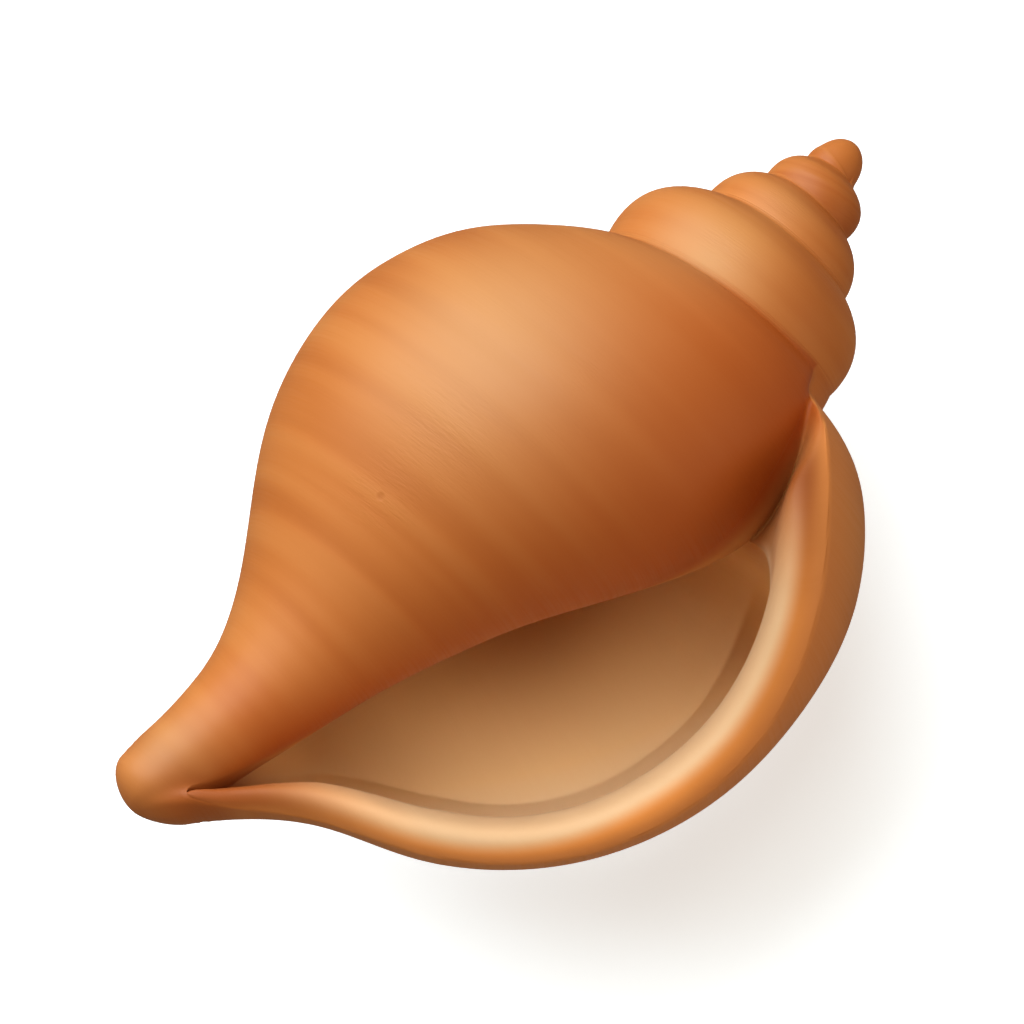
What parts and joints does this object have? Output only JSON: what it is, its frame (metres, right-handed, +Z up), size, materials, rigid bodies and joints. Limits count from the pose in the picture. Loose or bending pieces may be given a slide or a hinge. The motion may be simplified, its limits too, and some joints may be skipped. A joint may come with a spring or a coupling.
{
  "type": "sea snail shell",
  "caption": "Orange-brown sea snail shell with a tapering spire, a swollen last whorl, a short canal and a wide mouth with a thick cream-lined lip, lying mouth up.",
  "frame": {"origin": "middle of the footprint of the shell's bounding box, on the surface it lies on", "axes": "+X from the canal to the tip of the spire, +Z up out of the mouth, -Y towards the outer lip"},
  "size_m": [0.09, 0.0574, 0.0496],
  "materials": {
    "shell": "satin"
  },
  "bodies": {
    "root": {"shell": "shell"}
  },
  "joints": []
}
